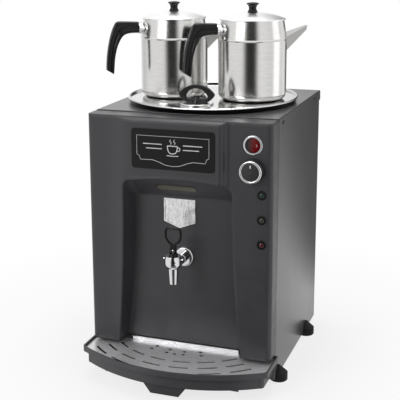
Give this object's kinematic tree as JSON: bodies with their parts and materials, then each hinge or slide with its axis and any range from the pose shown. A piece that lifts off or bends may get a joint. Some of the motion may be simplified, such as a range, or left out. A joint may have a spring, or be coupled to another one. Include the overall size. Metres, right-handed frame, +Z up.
{
  "type": "tea urn",
  "caption": "Free-standing tea urn: boiler cabinet with a recessed tap over a slide-out drip pan, front controls and a warming tray on top for lidded teapots.",
  "frame": {"origin": "on the floor, under the middle of the cabinet's width, halfway between the drip pan's front and the cable gland at the back", "axes": "+Z up, -Y to the front where the tap is, +X to the right as the user faces the front"},
  "size_m": [0.3843, 0.4784, 0.69],
  "materials": {
    "cabinet_paint": "satin anthracite powder coat on sheet steel",
    "front_plastic": "satin anthracite moulded plastic",
    "sign_film": "near-black plate with a thin light line",
    "chrome": "polished chrome plate",
    "mirror_steel": "mirror-polished stainless steel",
    "stainless": "satin stainless steel",
    "galvanised": "galvanised sheet steel",
    "bakelite": "glossy black bakelite",
    "black_plastic": "black moulded plastic",
    "foot_rubber": "black rubber",
    "pan_plastic": "charcoal moulded plastic",
    "switch_red": "translucent red plastic",
    "lamp_green": "unlit green lens",
    "lamp_amber": "unlit amber lens",
    "lamp_red": "unlit red lens",
    "alcove_lens": "smoked translucent lens",
    "brass": "turned brass",
    "screw_steel": "blackened steel",
    "element_steel": "heat-tinted stainless tube"
  },
  "bodies": {
    "cabinet": {"alcove_lamp_lens": "alcove_lens", "back_panel": "galvanised", "back_screws": "screw_steel", "badge_plate": "chrome", "base_plate": "galvanised", "boiler_tank": "stainless", "cable_gland": "black_plastic", "cover_screws": "screw_steel", "foot_back_left": "foot_rubber", "foot_back_right": "foot_rubber", "foot_front_left": "foot_rubber", "foot_front_right": "foot_rubber", "foot_screws": "screw_steel", "front_panel": "front_plastic", "heating_element": "element_steel", "lamp_bezel_1": "black_plastic", "lamp_bezel_2": "black_plastic", "lamp_bezel_3": "black_plastic", "lamp_lens_1": "lamp_green", "lamp_lens_2": "lamp_amber", "lamp_lens_3": "lamp_red", "left_side_panel": "cabinet_paint", "pan_shelf": "galvanised", "right_side_panel": "cabinet_paint", "sign_plate": "sign_film", "switch_housing": "black_plastic", "switch_ring": "chrome", "tank_stand": "galvanised", "tap_body": "chrome", "tap_bonnet": "black_plastic", "tap_nut": "brass", "tap_rosette": "chrome", "thermostat_body": "galvanised", "thermostat_bulb": "stainless", "top_cover": "cabinet_paint", "top_tray": "mirror_steel"},
    "drip_pan": {"drip_pan": "pan_plastic"},
    "drip_grate": {"drip_grate": "stainless"},
    "tap_stem": {"tap_stem": "stainless"},
    "tap_lever": {"tap_lever": "bakelite", "lever_pin": "chrome"},
    "rocker": {"switch_rocker": "switch_red"},
    "knob": {"thermostat_knob": "black_plastic", "knob_ring": "chrome", "thermostat_shaft": "stainless"},
    "fill_cap": {"fill_cap": "stainless", "fill_cap_handle": "bakelite"},
    "teapot_1": {"teapot_1_body": "stainless", "teapot_1_spout": "stainless", "teapot_1_ferrule": "chrome", "teapot_1_handle": "bakelite"},
    "teapot_lid_1": {"teapot_1_lid": "mirror_steel", "teapot_1_lid_knob": "bakelite"},
    "teapot_2": {"teapot_2_body": "stainless", "teapot_2_spout": "stainless", "teapot_2_ferrule": "chrome", "teapot_2_handle": "bakelite"},
    "teapot_lid_2": {"teapot_2_lid": "mirror_steel", "teapot_2_lid_knob": "bakelite"}
  },
  "joints": [
    {"name": "tap_stem_lift", "type": "slide", "parent": "cabinet", "child": "tap_stem", "axis": [0, 0, 1], "range_m": [0, 0.004], "stiffness_N_per_m": 100, "springref_m": -0.008},
    {"name": "tap_lever_swing", "type": "hinge", "parent": "tap_stem", "child": "tap_lever", "pos_m": [0, -0.1702, 0.262], "axis": [1, 0, 0], "range_deg": [0, 75]},
    {"name": "switch_tilt", "type": "hinge", "parent": "cabinet", "child": "rocker", "pos_m": [0.1395, -0.1437, 0.46], "axis": [0, 0, 1], "range_deg": [-9, 9]},
    {"name": "thermostat_turn", "type": "hinge", "parent": "cabinet", "child": "knob", "pos_m": [0.139, -0.1452, 0.415], "axis": [0, 1, 0], "range_deg": [0, 270]},
    {"name": "fill_cap_lift", "type": "slide", "parent": "cabinet", "child": "fill_cap", "axis": [0, 0, 1], "range_m": [0, 0.035]},
    {"name": "drip_pan_slide", "type": "slide", "parent": "cabinet", "child": "drip_pan", "axis": [0, -1, 0], "range_m": [0, 0.14]},
    {"name": "drip_grate_lift", "type": "slide", "parent": "drip_pan", "child": "drip_grate", "axis": [0, 0, 1], "range_m": [0, 0.006]},
    {"name": "teapot_1_lift", "type": "slide", "parent": "cabinet", "child": "teapot_1", "axis": [0, 0, 1], "range_m": [0, 0.08]},
    {"name": "teapot_1_lid_lift", "type": "slide", "parent": "teapot_1", "child": "teapot_lid_1", "axis": [0, 0, 1], "range_m": [0, 0.04]},
    {"name": "teapot_2_lift", "type": "slide", "parent": "cabinet", "child": "teapot_2", "axis": [0, 0, 1], "range_m": [0, 0.08]},
    {"name": "teapot_2_lid_lift", "type": "slide", "parent": "teapot_2", "child": "teapot_lid_2", "axis": [0, 0, 1], "range_m": [0, 0.04]}
  ],
  "couplings": [
    {"joint": "tap_lever_swing", "follows": "tap_stem_lift", "rad_per_m": 327.24}
  ]
}
